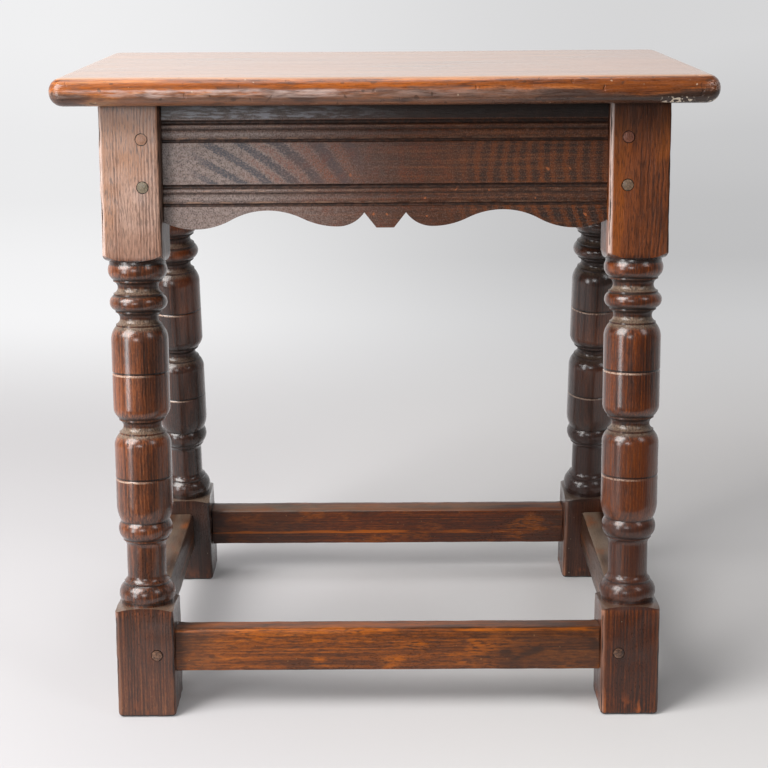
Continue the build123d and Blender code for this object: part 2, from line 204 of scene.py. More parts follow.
# how far back, as a share of the whole depth, and the grey of the painted glow there
left_tones = ((0.23, 254), (0.33, 250), (0.47, 248), (0.66, 242), (0.87, 242), (1.0, 247))
right_tones = ((0.23, 212), (0.33, 205), (0.47, 194), (0.66, 197), (0.87, 205), (1.0, 219))
glow_greys = []
for greys in (left_tones, right_tones):
    stops = [(at, seen(grey, grey, grey + 1)) for at, grey in greys]
    glow_greys.append(sheet.node("ShaderNodeValToRGB", {"stops": stops}, {"Fac": back * 0.3}, "Color"))
# the paper's own colour, darker on the left where the window lights it most: painted shade
paper_colours = {0: to_right, 6: seen(192, 190, 192), 7: seen(206, 204, 204)}
paper_colour = sheet.node("ShaderNodeMix", {"data_type": "RGBA"}, paper_colours, 2)
lit = sheet.node("ShaderNodeBsdfDiffuse", {}, {"Color": paper_colour})
bright = sheet.node("ShaderNodeEmission", {}, {"Color": glow_greys[0].mixed(glow_greys[1], to_right)})
direct = sheet.node("ShaderNodeLightPath", {}, {}, "Is Camera Ray")
mirrored = sheet.node("ShaderNodeLightPath", {}, {}, "Is Glossy Ray")
# the share of the painted glow in what the camera and reflections see, growing further back
share = (direct + mirrored) * (0.1 + back.fade(0.4, 1.15) * 0.82)
surface = sheet.node("ShaderNodeMixShader", {}, {0: share, 1: lit, 2: bright})
sheet.node("ShaderNodeOutputMaterial", {}, {"Surface": surface})
sweep.data.materials.append(paper)

world = bpy.data.worlds.new("studio_air")
world.use_nodes = True
world.node_tree.nodes.clear()
air = Shade(world.node_tree)
strength = 0.13 + air.node("ShaderNodeLightPath", {}, {}, "Is Camera Ray") * 0.62
glow = {"Color": (1.0, 0.97, 0.94, 1), "Strength": strength}
air.node("ShaderNodeOutputWorld", {}, {"Surface": air.node("ShaderNodeBackground", {}, glow)})
bpy.context.scene.world = world

# name, place, what it looks at, width, height, watts, colour
windows = (
    ("window_left", (-1.25, -0.85, 1.45), (0.0, -0.05, 0.3), 1.2, 1.3, 56.0, (1.0, 0.985, 0.965)),
    ("window_front", (-0.4, -1.8, 0.72), (-0.05, 0.0, 0.4), 0.5, 0.4, 4.5, (0.97, 0.985, 1.0)),
    ("strip_left", (-1.15, -1.05, 0.36), (0.0, 0.0, 0.33), 0.36, 0.7, 7.0, (0.97, 0.985, 1.0)),
    ("card_right", (1.25, -1.05, 1.35), (0.0, 0.0, 0.25), 0.5, 0.8, 5.0, (0.95, 0.98, 1.0)),
    ("light_above", (-0.3, 0.2, 2.1), (0.0, 0.0, 0.3), 1.5, 1.2, 19.0, (1.0, 1.0, 1.0)),
)
for name, place, target, width, height, watts, colour in windows:
    bpy.ops.object.light_add(type="AREA", location=place)
    lamp = bpy.context.object
    lamp.name = name
    lamp.data.shape = "RECTANGLE"
    lamp.data.size = width
    lamp.data.size_y = height
    lamp.data.energy = watts
    lamp.data.color = colour
    lamp.visible_camera = False
    lamp.rotation_euler = (Vector(place) - Vector(target)).to_track_quat("Z", "Y").to_euler()


# ------------------------------------------------------------------ legs
# Four oak legs turned from 42.5 mm square stock: two blocks are left square for the
# joints, with two vases, beads, necks and a column between them. They rake outwards from
# front to back, so their ends are cut level. Old wax, rubbed arrises, dust in the necks.

rake = math.radians(6.2)
leg_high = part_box("leg_front_right")[1]
seat_underside = leg_high.z
half_length = leg_high.x
leg_square = 0.0425
half_depth = 0.102  # to the outer faces of the legs, just under the seat
leg_length = seat_underside / math.cos(rake)
spare = 0.008
block_arris = 0.0023
foot_rounding = 0.0032
unevenness = 0.0002

# heights along a leg, with the seat's underside at 0
turning_top = -0.1085
turning_bottom = 0.0824 - leg_length
vases_meet = -0.250
column_top = -0.296
collar = 0.0164  # radius of the square-edged rings beside a neck
collar_height = 0.0013
line_depth = 0.0005


class Outline:
    """Half of a turned shape, drawn from the top down as (radius, height) points."""

    def __init__(self, radius, height):
        self.points = [(radius, height)]
        self.seams = []  # heights where one turned shape meets the next
        self.lines = []  # heights of the lines cut round the vases

    def to(self, radius, height):
        """A straight stretch to a point."""
        self.points.append((radius, height))

    def line(self, radius, drop=0.0):
        """A straight stretch to a radius, so far below the last point."""
        self.to(radius, self.points[-1][1] - drop)

    def arc(self, through, end, steps=10):
        """A round stretch from the last point through one point to another."""
        (ax, ay), (bx, by), (cx, cy) = self.points[-1], through, end
        d = 2 * (ax * (by - cy) + bx * (cy - ay) + cx * (ay - by))
        a2, b2, c2 = ax * ax + ay * ay, bx * bx + by * by, cx * cx + cy * cy
        ox = (a2 * (by - cy) + b2 * (cy - ay) + c2 * (ay - by)) / d
        oy = (a2 * (cx - bx) + b2 * (ax - cx) + c2 * (bx - ax)) / d
        size = math.hypot(ax - ox, ay - oy)
        start = math.atan2(ay - oy, ax - ox)
        middle = (math.atan2(by - oy, bx - ox) - start + math.pi) % (2 * math.pi) - math.pi
        turned = (math.atan2(cy - oy, cx - ox) - start) % (2 * math.pi)
        if middle < 0:
            turned -= 2 * math.pi
        for i in range(1, steps + 1):
            angle = start + turned * i / steps
            self.points.append((ox + size * math.cos(angle), oy + size * math.sin(angle)))

    def bead(self, height, crown, below, share=0.5):
        """A round ring; share says how far down it its crown is."""
        top = self.points[-1][1]
        self.seams += [top, top - height]
        self.arc((crown, top - height * share), (below, top - height), 14)

    def neck(self, height, throat, above=collar, below=collar):
        """A hollow between two square-edged collars."""
        top = self.points[-1][1]
        self.line(above)
        self.line(above, collar_height)
        self.arc((throat, top - height / 2), (below, top - height + collar_height), 12)
        self.line(below, collar_height)

    def vase(self, length, below, shoulder, foot, belly=0.0202):
        """A barrel with rounded ends and one line cut round its middle."""
        top = self.points[-1][1]
        low = top - length
        middle = (top + low) / 2
        self.lines.append(middle)
        shoulder_end = (belly, top - length * shoulder)
        foot_start = (belly, low + length * foot)
        self.line(collar)
        self.arc(bow(self.points[-1], shoulder_end, 0.30), shoulder_end)
        for cut, height in ((0, 0.0008), (1, 0.0002), (1, -0.0002), (0, -0.0008)):
            self.to(belly - cut * line_depth, middle + height)
        self.to(*foot_start)
        self.arc(bow(foot_start, (below, low), 0.30), (below, low))


def bow(start, end, share):
    """The middle of an outward bow from start to end; share is its rise to its spread."""
    along = (end[0] - start[0], end[1] - start[1])
    rise = share * abs(along[0]) / math.hypot(*along)
    return ((start[0] + end[0]) / 2 - along[1] * rise, (start[1] + end[1]) / 2 + along[0] * rise)


def leg_outline():
    """Half of a leg: a turned shoulder under the upper block, two beads, two vases, a bead, the
    column, a bead and the shoulder of the lower block. The vases take up what is left."""
    corner = leg_square / math.sqrt(2) + 0.002
    quirk, low_quirk = 0.0197, 0.0190
    halfway = (quirk + corner) / 2
    high_gap, cap_bead, cap_neck, second_bead, neck = 0.0022, 0.0110, 0.0111, 0.0108, 0.0112
    low_bead, column, base_bead, low_gap = 0.0128, 0.0335, 0.0131, 0.0018
    fixed = high_gap + cap_bead + cap_neck + second_bead + 2 * neck
    fixed = fixed + low_bead + column + base_bead + low_gap
    vases = turning_top - turning_bottom - fixed
    vase_difference = 0.0022

    out = Outline(0.0, spare)
    out.line(corner)
    out.to(corner, turning_top + 0.0088)
    out.arc((halfway, turning_top + 0.0028), (quirk, turning_top), 24)
    out.line(quirk, high_gap)
    out.bead(cap_bead, 0.0208, 0.0174, 0.47)
    out.neck(cap_neck, 0.0143, 0.0174, 0.0174)
    out.bead(second_bead, 0.0203, collar)
    out.neck(neck, 0.0135)
    out.vase((vases + vase_difference) / 2, collar, 0.16, 0.13)
    out.neck(neck, 0.0135)
    out.vase((vases - vase_difference) / 2, 0.0173, 0.14, 0.2)
    out.bead(low_bead, 0.0193, collar, 0.4)
    top = out.points[-1][1]
    slim, flare = 0.0141, 0.0055
    out.line(collar, collar_height)
    high, low = top - collar_height, top - column + collar_height
    out.arc(bow((collar, high), (slim, high - flare), -0.35), (slim, high - flare), 6)
    out.to(slim, low + flare)
    out.arc(bow((slim, low + flare), (collar, low), -0.35), (collar, low), 6)
    out.line(collar, collar_height)
    out.bead(base_bead, 0.0203, low_quirk, 0.69)
    out.to(low_quirk, turning_bottom)
    out.arc((halfway, turning_bottom - 0.0014), (corner, turning_bottom - 0.0044), 24)
    out.to(corner, -leg_length - spare)
    out.to(0.0, -leg_length - spare)
    return out


def take_up(piece):
    """Makes a piece the only one selected and the one that operators act on."""
    bpy.ops.object.select_all(action="DESELECT")
    bpy.context.view_layer.objects.active = piece
    piece.select_set(True)


def draw_line(name, points):
    """A chain of edges through points, drawn by extruding one vertex from the next."""
    bpy.ops.object.select_all(action="DESELECT")
    bpy.ops.mesh.primitive_plane_add(size=0.001)
    piece = bpy.context.object
    piece.name = name
    piece.data.name = name
    bpy.ops.object.mode_set(mode="EDIT")
    bpy.ops.mesh.select_mode(type="VERT")
    bpy.ops.mesh.select_all(action="SELECT")
    bpy.ops.mesh.merge(type="CENTER")
    bpy.ops.transform.translate(value=points[0])
    for start, end in zip(points, points[1:]):
        extrude([b - a for a, b in zip(start, end)])
    bpy.ops.mesh.select_all(action="SELECT")
    return piece


def pick(piece, kind, wanted):
    """Selects, in edit mode, vertices by their place, edges by their two ends or faces by
    the way they look."""
    mesh = piece.data
    bpy.ops.object.mode_set(mode="EDIT")
    bpy.ops.mesh.select_mode(type=kind)
    bpy.ops.mesh.select_all(action="DESELECT")
    bpy.ops.object.mode_set(mode="OBJECT")
    if kind == "VERT":
        for vertex in mesh.vertices:
            vertex.select = wanted(vertex.co)
    elif kind == "EDGE":
        for edge in mesh.edges:
            edge.select = wanted(*(mesh.vertices[i].co for i in edge.vertices))
    else:
        for face in mesh.polygons:
            face.select = wanted(face.normal)
    bpy.ops.object.mode_set(mode="EDIT")


def close_up(piece):
    """Ends the shaping in edit mode: doubles merged, faces outwards, place in the mesh."""
    bpy.ops.mesh.select_all(action="SELECT")
    bpy.ops.mesh.remove_doubles(threshold=1e-6)
    bpy.ops.mesh.normals_make_consistent(inside=False)
    bpy.ops.object.mode_set(mode="OBJECT")
    settle(piece)
    return piece


def settle(piece):
    """Place, turn and size go into the mesh."""
    take_up(piece)
    bpy.ops.object.transform_apply(location=True, rotation=True, scale=True)


def apply_modifier(piece, kind, **settings):
    """One modifier, added and applied at once."""
    take_up(piece)
    work = piece.modifiers.new("work", kind)
    for setting, value in settings.items():
        setattr(work, setting, value)
    bpy.ops.object.modifier_apply(modifier=work.name)


def cut_with(piece, tool, how):
    """Boolean of two pieces; the tool is used up."""
    apply_modifier(piece, "BOOLEAN", operation=how, solver="EXACT", object=tool)
    bpy.data.objects.remove(tool)


def saw_level(piece, height, keep_below):
    """A level cut right through, with the cut face filled."""
    take_up(piece)
    bpy.ops.object.mode_set(mode="EDIT")
    bpy.ops.mesh.select_all(action="SELECT")
    bpy.ops.mesh.bisect(
        plane_co=(0, 0, height), plane_no=(0, 0, 1), use_fill=True,
        clear_outer=keep_below, clear_inner=not keep_below,
    )
    bpy.ops.object.mode_set(mode="OBJECT")


def soften(piece, angle=34):
    """Smooth shading over all edges blunter than an angle."""
    take_up(piece)
    bpy.ops.object.shade_smooth_by_angle(angle=math.radians(angle))


def planed_square(seed):
    """The planed stock: a long square bar with rubbed arrises, never quite flat."""
    length = leg_length + 4 * spare
    stages = 110
    bpy.ops.object.select_all(action="DESELECT")
    bpy.ops.mesh.primitive_plane_add(
        size=leg_square - 3 * unevenness, location=(0, 0, -leg_length - 2 * spare)
    )
    bar = bpy.context.object
    bpy.ops.object.mode_set(mode="EDIT")
    bpy.ops.mesh.select_all(action="SELECT")
    bpy.ops.mesh.bevel(offset=block_arris, segments=5, affect="VERTICES", profile=0.5)
    pick(bar, "EDGE", lambda a, b: (a - b).length > leg_square / 2)
    bpy.ops.mesh.subdivide(number_cuts=11)
    bpy.ops.mesh.select_mode(type="FACE")
    bpy.ops.mesh.select_all(action="SELECT")
    for _ in range(stages):
        extrude((0, 0, length / stages))
    bpy.ops.mesh.select_all(action="SELECT")
    bpy.ops.transform.vertex_random(offset=unevenness * 3, uniform=0.0, normal=1.0, seed=seed)
    bpy.ops.mesh.select_mode(type="VERT")
    bpy.ops.mesh.vertices_smooth(factor=0.5, repeat=2)
    return close_up(bar)


def ease_foot(leg, middle):
    """The rounded edge under the foot, so that it doesn't split when it is dragged."""
    steps = 4
    turns = [math.pi / 2 * i / steps for i in range(steps + 1)]
    heights = [foot_rounding * (1 - math.sin(turn)) for turn in turns]
    take_up(leg)
    bpy.ops.object.mode_set(mode="EDIT")
    for height in heights[:-1]:
        bpy.ops.mesh.select_all(action="SELECT")
        bpy.ops.mesh.bisect(plane_co=(0, 0, height), plane_no=(0, 0, 1))
    heights.append(-1.0)
    for i in range(1, steps + 1):
        low, high = (heights[i] + heights[i + 1]) / 2, (heights[i - 1] + heights[i]) / 2
        size = 1 - 2 * foot_rounding * (1 - math.cos(turns[i])) / leg_square
        pick(leg, "VERT", lambda at: low <= at.z < high)
        bpy.ops.transform.resize(value=(size, size, 1), center_override=middle)
    bpy.ops.object.mode_set(mode="OBJECT")


def turned_leg(name, seed):
    """One leg standing straight, its axis on Z, with the seat's underside at height 0."""
    leg = draw_line(name, [(r, 0, z) for r, z in leg_outline().points])
    bpy.ops.mesh.spin(steps=120, angle=2 * math.pi, center=(0, 0, 0), axis=(0, 0, 1))
    close_up(leg)
    cut_with(leg, planed_square(seed), "INTERSECT")
    return leg


class Oak:
    """Stained and waxed oak, its grain along Z of the frame that it lies in. The heart is the
    middle of the tree in that frame, which sets how the rings show on each face; ring is the
    width of a year, and figure how much darker its early wood is."""

    def __init__(self, name, lying, heart, ring, seed, tones, figure=0.4):
        dark, body, light = (seen(*tone) for tone in tones)
        self.material = bpy.data.materials.new(name)
        self.material.use_nodes = True
        self.material.node_tree.nodes.clear()
        start = Shade(self.material.node_tree)
        place, turn, _ = lying.decompose()
        self.world = start.node("ShaderNodeTexCoord", {}, {}, "Object")
        inputs = {"Vector": self.world, "Location": place, "Rotation": turn.to_euler()}
        self.at = start.node("ShaderNodeMapping", {"vector_type": "TEXTURE"}, inputs)
        self.x, self.y, self.z = self.at.parts()
        self.up = start.node("ShaderNodeNewGeometry", {}, {}, "Normal").parts()[2]

        # each board comes from its own place in the tree; its rings drift and shiver
        self.wood = self.at.moved((0.31 * seed, 0.17 * seed, 0.53 * seed))
        drift = self.grained(11, 2.5, output="Color")
        shiver = self.grained(140, 30, roughness=0.6, output="Color")
        bent = self.at.moved(drift.stretched((0.014, 0.014, 0)))
        bent = bent.moved(shiver.stretched((0.0026, 0.0026, 0)))
        x, y, z = bent.parts()
        radius = ((x - heart[0]) ** 2.0 + (y - heart[1]) ** 2.0) ** 0.5
        count = (radius + z * 0.012) / ring
        swing = (count * (2 * math.pi)).sine() * 0.5 + 0.5
        uneven = self.grained(120, 1.5, 1.0)
        self.early = (swing ** 1.4) * uneven.fade(0.25, 0.68)

        # long fibres, pores open in the early wood, specks and broad patches
        fibre = self.grained(620, 9.92, 3.0, 0.6)
        hair = self.grained(1250, 112.5, 1.0, 0.5)
        self.speck = self.grained(1200, 480, 1.0, 0.5)
        self.patch = self.grained(16, 7, 3.0, 0.55)
        self.pores = hair.fade(0.50, 0.66) * (0.45 + 0.55 * self.early)

        # what the stain and the plane have made of them
        tone = 0.56 + (fibre - 0.5) * 1.5 + (self.patch - 0.5) * 1.1 + (self.speck - 0.5) * 0.5
        tone = tone - self.early * figure
        stops = ((0.15, dark), (0.52, body), (0.92, light))
        self.colour = start.node("ShaderNodeValToRGB", {"stops": stops}, {"Fac": tone}, "Color")
        self.colour = self.colour.mixed(seen(30, 16, 10), self.pores * 0.68)
        self.height = self.pores * -0.17 - self.early * 0.05 + (fibre - 0.5) * 0.08
        self.height = self.height + (self.wood.noise(55.0, 1.0) - 0.5) * 0.4
        self.rough = 0.34 + (self.patch - 0.5) * 0.3 + self.pores * 0.25
        self.rough = self.rough + (self.speck - 0.5) * 0.16

    def grained(self, across, along, detail=2.0, roughness=0.5, output="Fac"):
        """Noise with so many cells in a metre across the grain and along it."""
        cells = self.wood.stretched((across, across, along))
        return cells.noise(1.0, detail, roughness, output)

    def stain(self, colour, share):
        """A share of the colour, given as the eye reads it, lies over what is there."""
        self.colour = self.colour.mixed(seen(*colour), share)

    def spots(self, scale, fewness, seed=0.0):
        """Small scattered marks, 1 where they lie."""
        return self.wood.moved((seed, 0.0, seed)).noise(scale, 0.0).fade(fewness, fewness + 0.03)

    def finish(self, coat=0.3, coat_roughness=0.22, richness=1.06):
        """A coat of wax over it all; returns the material."""
        rich = {"Saturation": richness, "Color": self.colour}
        self.colour = self.colour.node("ShaderNodeHueSaturation", {}, rich, "Color")
        bump = self.colour.node("ShaderNodeBump", {}, {"Height": self.height, "Distance": 0.001})
        inputs = {
            "Base Color": self.colour,
            "Roughness": self.rough.larger(0.12),
            "Normal": bump,
            "Specular IOR Level": 0.25,
            "Coat Weight": coat,
            "Coat Roughness": coat_roughness,
        }
        surface = self.colour.node("ShaderNodeBsdfPrincipled", {}, inputs)
        self.colour.node("ShaderNodeOutputMaterial", {}, {"Surface": surface})
        return self.material


# colours as the eye reads them, 0 to 255
# near black: grime in some places, painted shade in crevices and under things in others
dirt_and_shade = (22, 14, 11)
dust = (134, 116, 100)
rubbed = (168, 104, 66)
chipped = (196, 178, 156)


def leg_finish(name, lying, heart, seed, tones, dry, window_side, dusty):
    """Polished turnings with dust on their ledges, over blocks that handling has left dry.
    window_side is 1 on the left legs and 0 on the others: their paler, greyer tones are partly
    bleached wood, partly painted sheen from the window on the left. dusty is the share of dust."""
    oak = Oak(name, lying, heart, 0.0020, seed, tones, 0.26)
    outline = leg_outline()
    far_side = 1 - window_side
    reach = (oak.x ** 2.0 + oak.y ** 2.0) ** 0.5
    turned = oak.z.band(turning_bottom - 0.002, turning_top + 0.002, 0.002)
    block = 1 - turned
    upper = oak.z.fade(turning_top, turning_top + 0.006)
    window_side_block, mottled = upper * window_side, upper * far_side
    flecks = oak.grained(1100, 143, 1.0).fade(0.50, 0.66)

    # the upper block: dry, its light wood lined with darker early wood
    light, shaded = dry
    oak.stain(tones[1], turned * 0.22)
    oak.stain(shaded, upper * 0.75)
    lined = 1 - oak.early * (0.76 + 0.12 * window_side)
    oak.stain(light, upper * lined * (0.5 + 0.6 * oak.speck) * 0.85)
    oak.stain((158, 112, 82), window_side_block * oak.patch.fade(0.46, 0.62) * (1 - flecks) * 0.5)
    oak.stain((122, 80, 58), window_side_block * oak.z.fade(-0.070, -0.102) * 0.45)
    oak.stain(dirt_and_shade, (upper * (0.50 - 0.08 * window_side) + turned * 0.45) * flecks)
    smoke = oak.grained(330, 11.55).fade(0.50, 0.62)
    oak.stain(dirt_and_shade, smoke * (1 - window_side_block) * 0.4)
    oak.stain(dirt_and_shade, turned * oak.patch.fade(0.52, 0.34) * 0.35)
    # the turnings' right sides painted warmer in patches, most on the front legs: the side the
    # window's sheen misses
    painted_warm_side = turned * oak.x.fade(-0.006, 0.012) * oak.patch.fade(0.40, 0.60)
    oak.stain((150, 70, 24), painted_warm_side * dusty * 0.4)
    cloud = oak.wood.moved((0.7, 0.2, 0.1)).stretched((38, 38, 11)).noise(1.0)
    oak.stain((42, 25, 18), mottled * cloud.fade(0.50, 0.64) * 0.6)
    oak.stain((150, 84, 40), mottled * cloud.fade(0.47, 0.36) * (1 - flecks * 0.5) * 0.45)
    # painted shade from the seat: the right legs' upper blocks darker towards the top
    oak.stain((42, 27, 20), mottled * oak.z.fade(-0.040, -0.004) * 0.5)
    # painted shadow under the seat on every block, painted shade on the inner side of the left
    # ones
    oak.stain(dirt_and_shade, oak.z.fade(-0.006, -0.0005) * 0.6 + window_side_block * oak.x.fade(0.0196, 0.0208) * 0.6)

    # the turnings: painted shade and grime in seams and throats, dust on what looks up, bare
    # crowns
    seams = abs(oak.z - outline.seams[0]).fade(0.0011, 0.0002)
    for height in outline.seams[1:]:
        seams = seams.larger(abs(oak.z - height).fade(0.0011, 0.0002))
    throat = turned * reach.fade(0.0190, 0.0168)
    throat = throat * oak.z.fade(vases_meet - 0.012, vases_meet + 0.010)
    settled = (oak.speck + oak.patch).fade(0.85, 1.1) * 0.5 + 0.4
    oak.stain(dirt_and_shade, throat * 0.5)
    oak.stain(dust, throat * oak.up.fade(0.02, 0.40) * settled * dusty)
    oak.stain(dirt_and_shade, throat * flecks * 0.5)
    # painted shade under everything that looks down
    oak.stain(dirt_and_shade, turned * oak.up.fade(-0.20, -0.70) * 0.7)
    oak.stain(dirt_and_shade, seams * turned * 0.75)
    # painted shadow in the quirk under the upper block
    oak.stain(dirt_and_shade, oak.z.band(outline.seams[0] + 0.0003, turning_top + 0.0012, 0.0004) * 0.8)
    # at each cut line, painted shade on its upper side and a painted highlight under it on the
    # left
    for height in outline.lines:
        oak.stain(dirt_and_shade, oak.z.band(height, height + 0.0010, 0.0004) * turned * 0.85)
        glint = oak.z.band(height - 0.0015, height - 0.0007, 0.0004) * oak.x.fade(0.014, -0.008)
        oak.stain((206, 178, 158), glint * turned * oak.speck.fade(0.25, 0.55) * 0.65)
    crown = turned * reach.fade(0.0193, 0.0204) * oak.patch.fade(0.44, 0.60)
    oak.stain((150, 78, 38), crown * (1 - oak.pores) * 0.2)
    low_vase = oak.z.band(column_top, vases_meet + 0.015, 0.012)
    oak.stain((40, 20, 12), low_vase * far_side * 0.4)
    column = turned * oak.z.fade(column_top + 0.003, column_top - 0.006) * far_side
    oak.stain((42, 28, 25), column * (0.55 + 0.3 * oak.patch))

    # the arrises, rubbed, with a painted highlight on the front left; the lower block's scuffed
    # foot
    worn = block * (abs(oak.x) + abs(oak.y)).fade(0.0378, 0.0404) * (1 - upper * 0.8)
    oak.stain(rubbed, worn * oak.patch.fade(0.36, 0.58) * 0.6)
    arris_highlight = (-oak.x).fade(0.0178, 0.0196) * (-oak.y).fade(0.0178, 0.0196)
    arris_highlight = arris_highlight * (upper + (block - upper) * 0.25)
    oak.stain((214, 190, 180), arris_highlight * (0.5 + 0.3 * oak.speck))
    bowed = oak.z.band(turning_bottom - 0.0042, turning_bottom - 0.0004, 0.0008)
    oak.stain(dust, bowed * oak.up.fade(0.35, 0.8) * (0.1 + 0.3 * oak.speck + 0.2 * window_side))
    foot = oak.z.fade(-leg_length + 0.022, -leg_length + 0.002)
    oak.stain((158, 86, 48), foot * oak.grained(120, 60).fade(0.52, 0.62) * 0.7)
    low_block = oak.z.fade(turning_bottom, turning_bottom - 0.01)
    oak.stain((62, 47, 42), low_block * window_side * 0.60)
    oak.stain((54, 26, 14), low_block * far_side * (1 - foot) * 0.5)
    oak.stain(chipped, low_block * oak.spots(480.0, 0.86) * 0.3)

    # the insides of the peg holes, painted near black as shade
    bore_shade = abs(oak.x).larger(abs(oak.y)).fade(leg_square / 2 - 0.0006, leg_square / 2 - 0.0011)
    above = oak.z.fade(turning_top + 0.009, turning_top + 0.011)
    below = oak.z.fade(turning_bottom - 0.006, turning_bottom - 0.008)
    oak.stain((8, 5, 4), bore_shade * above.larger(below))
    oak.rough = oak.rough + throat * 0.3 + upper * 0.12 + foot * 0.15
    coat = 1.0 - upper * 0.65 - low_block * 0.5 - throat * 0.35 - column * 0.35
    return oak.finish(coat, 0.21)


leg_tones = {
    "front_left": ((48, 27, 18), (114, 64, 40), (172, 110, 74)),
    "front_right": ((36, 18, 10), (94, 47, 24), (150, 84, 44)),
    "rear_left": ((34, 19, 14), (70, 40, 28), (100, 62, 44)),
    "rear_right": ((30, 18, 13), (64, 36, 25), (96, 58, 40)),
}
# the dry upper blocks: their light wood and the darker wood under it. The front left's light
# wood is so pale partly as painted sheen from the window on the left.
dry_tones = {
    "front_left": ((186, 154, 137), (112, 87, 77)),
    "front_right": ((126, 70, 42), (58, 34, 24)),
    "rear_left": ((110, 82, 68), (66, 46, 36)),
    "rear_right": ((74, 52, 42), (44, 30, 24)),
}
hearts = {
    "front_left": (0.11, 0.02), "front_right": (0.08, 0.05),
    "rear_left": (-0.09, 0.03), "rear_right": (-0.12, -0.02),
}

peg_radius = 0.0039
peg_length = 0.034
peg_inset = 0.0129  # from the inner arris of a leg
rail_shoulder = half_length - leg_square
peg_x = rail_shoulder + peg_inset
ring_gap = 0.0004
rail_pegs = (0.0242, 0.0568)  # down the faces of the legs
stretcher_peg = leg_length - 0.0472
peg_step = 0.0094 / math.cos(rake)  # the end pegs pass the long ones by this much
peg_sinking = (leg_square - peg_inset) * math.sin(rake)
end_rail_pegs = [depth * math.cos(rake) + peg_sinking + peg_step for depth in rail_pegs]
end_stretcher_peg = stretcher_peg * math.cos(rake) + peg_sinking - peg_step
leg_depth = leg_square / math.cos(rake)


def inner_face(below, inwards=0.0):
    """From the middle of the stool to the inner faces of the legs, at a depth below the seat."""
    return half_depth - leg_depth + below * math.tan(rake) + inwards / math.cos(rake)


def long_face(side, inward=0.0):
    """The raked plane of the front or rear legs' outer faces: X along it, Y inward, Z up it."""
    return (
        Matrix.Translation((0, side * half_depth, seat_underside))
        @ Matrix.Rotation(side * rake, 4, "X")
        @ Matrix.Rotation(math.pi if side > 0 else 0.0, 4, "Z")
        @ Matrix.Translation((0, inward, 0))
    )


def end_face(hand, inward=0.0):
    """The upright plane of the left or right legs' outer faces, in the same way."""
    return (
        Matrix.Translation((hand * (half_length - inward), 0, seat_underside))
        @ Matrix.Rotation(hand * math.pi / 2, 4, "Z")
    )


def lay(piece, lying):
    """Puts a piece that was modelled at the origin in its place in the frame."""
    piece.matrix_world = lying
    settle(piece)


def round_bar(lying, x, depth, radius, high, low, sides=28):
    """A round bar through a face, from high outside it to low inside."""
    bpy.ops.object.select_all(action="DESELECT")
    bpy.ops.mesh.primitive_cylinder_add(
        vertices=sides, radius=radius, depth=high + low,
        location=(x, (low - high) / 2, -depth), rotation=(math.pi / 2, 0, 0),
    )
    bar = bpy.context.object
    settle(bar)
    lay(bar, lying)
    return bar


def bore_pegs(leg, side, hand):
    """Mouths of the peg holes in the two outer faces, a hair wider than the pegs."""
    mouths = []
    for depth in (*rail_pegs, stretcher_peg):
        mouths.append((long_face(side), -side * hand * peg_x, depth))
    for depth in (*end_rail_pegs, end_stretcher_peg):
        mouths.append((end_face(hand), side * hand * inner_face(depth, peg_inset), depth))
    for lying, x, depth in mouths:
        mouth = round_bar(lying, x, depth, peg_radius + ring_gap, 0.002, 0.003)
        cut_with(leg, mouth, "DIFFERENCE")


for side_name, side in (("front", -1), ("rear", 1)):
    for hand_name, hand in (("left", -1), ("right", 1)):
        which = f"{side_name}_{hand_name}"
        seed = 3 + side * 2 + hand
        leg = turned_leg(f"oak_leg_{which}", seed)
        lying = (
            Matrix.Translation((hand * half_length, side * half_depth, seat_underside))
            @ Matrix.Rotation(side * rake, 4, "X")
            @ Matrix.Translation((-hand * leg_square / 2, -side * leg_square / 2, 0))
        )
        lay(leg, lying)
        saw_level(leg, seat_underside, True)
        saw_level(leg, 0.0, False)
        ease_foot(leg, lying @ Vector((0, 0, -leg_length)))
        bore_pegs(leg, side, hand)
        soften(leg)
        window_side, dusty = 1.0 if hand < 0 else 0.0, 0.9 if side < 0 else 0.35
        tones, dry = leg_tones[which], dry_tones[which]
        leg.data.materials.append(
            leg_finish(f"leg_oak_{which}", lying, hearts[which], seed, tones, dry, window_side, dusty)
        )
        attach(leg, "root")
        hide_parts(f"leg_{which}")


# ------------------------------------------------------------------ rails under the seat
# Four boards of the frame, set back behind the faces of the legs. A scratch stock has run
# two bands of grooves and beads along their faces, and a saw and rasp have shaped the
# scalloped lower edge of the long ones and the shallow arch of the short ones.

rail_setback = 0.009
rail_thickness = 0.020
# turns of the scalloped edge: how far from the middle, how far below the seat
drop = (0.0061, 0.0857)
cusp = (0.0145, 0.0752)
middle_lobe = (0.033, 0.0848)
arch = (0.0818, 0.0735)
end_lobe = (rail_shoulder - 0.0216, 0.0864)
lobe_at_leg = 0.0812
moulding_tops = (0.0113, 0.0554)
moulding_cuts = ((0.0, 0.0016), (0.0057, 0.0007), (0.013, 0.0012))  # below its top, radius
bead_fall = 0.0004


def level_arc(level_end, other, steps=10):
    """Points of an arc that is level at one end, from that end to the other."""
    x, z = level_end
    dx, dz = other[0] - x, other[1] - z
    size = (dx * dx + dz * dz) / (2 * dz)
    upwards = math.copysign(1, dz)
    full = math.atan2(dx, upwards * (size - dz))
    angles = [full * i / steps for i in range(steps + 1)]
    return [(x + abs(size) * math.sin(a), z + size * (1 - math.cos(a))) for a in angles]


def wave(start, stop):
    """Two arcs that meet half way, level at both ends."""
    turn = ((start[0] + stop[0]) / 2, (start[1] + stop[1]) / 2)
    return level_arc(start, turn) + level_arc(stop, turn)[-2::-1]


def scalloped_edge():
    """The right half of the lower edge of a long rail, from the middle to the leg."""
    start, notch, inner, crown, lobe = (
        (x, -below) for x, below in (drop, cusp, middle_lobe, arch, end_lobe)
    )
    points = [start] + level_arc(inner, notch)[::-1]
    points += wave(inner, crown)[1:] + wave(crown, lobe)[1:]
    return points + level_arc(lobe, (rail_shoulder, -lobe_at_leg))[1:]


